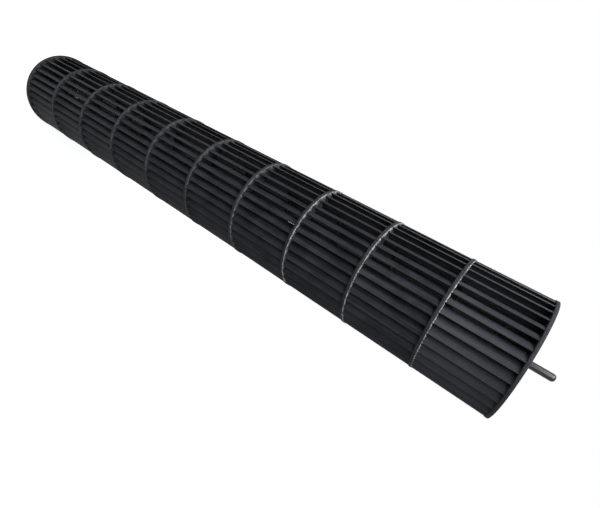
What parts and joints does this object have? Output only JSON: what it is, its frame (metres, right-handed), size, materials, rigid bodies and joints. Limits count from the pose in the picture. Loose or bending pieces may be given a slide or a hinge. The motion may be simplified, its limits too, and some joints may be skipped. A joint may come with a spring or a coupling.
{
  "type": "cross flow fan",
  "caption": "Long bladed blower wheel of an air conditioner: stacked rings of curved blades, a damped metal hub in the motor end and a bare steel bearing pin at the other.",
  "frame": {"origin": "centre of the motor end's face, on the axis of rotation", "axes": "+Z along the axis of rotation, from the motor end to the pin end; the wheel stands on its motor end"},
  "size_m": [0.098, 0.098, 0.659],
  "materials": {
    "black_plastic": "moulded glass-filled plastic, satin, charcoal black",
    "pin_steel": "ground bright steel",
    "damper_rubber": "matt black rubber",
    "hub_metal": "turned aluminium",
    "screw_steel": "black oxide steel"
  },
  "bodies": {
    "root": {"motor_end_plate": "black_plastic", "blade_segment_01": "black_plastic", "blade_segment_02": "black_plastic", "blade_segment_03": "black_plastic", "blade_segment_04": "black_plastic", "blade_segment_05": "black_plastic", "blade_segment_06": "black_plastic", "blade_segment_07": "black_plastic", "blade_segment_08": "black_plastic", "blade_segment_09": "black_plastic", "blade_segment_10": "black_plastic", "shaft_pin": "pin_steel", "rubber_damper": "damper_rubber", "hub": "hub_metal", "set_screw": "screw_steel"}
  },
  "joints": []
}
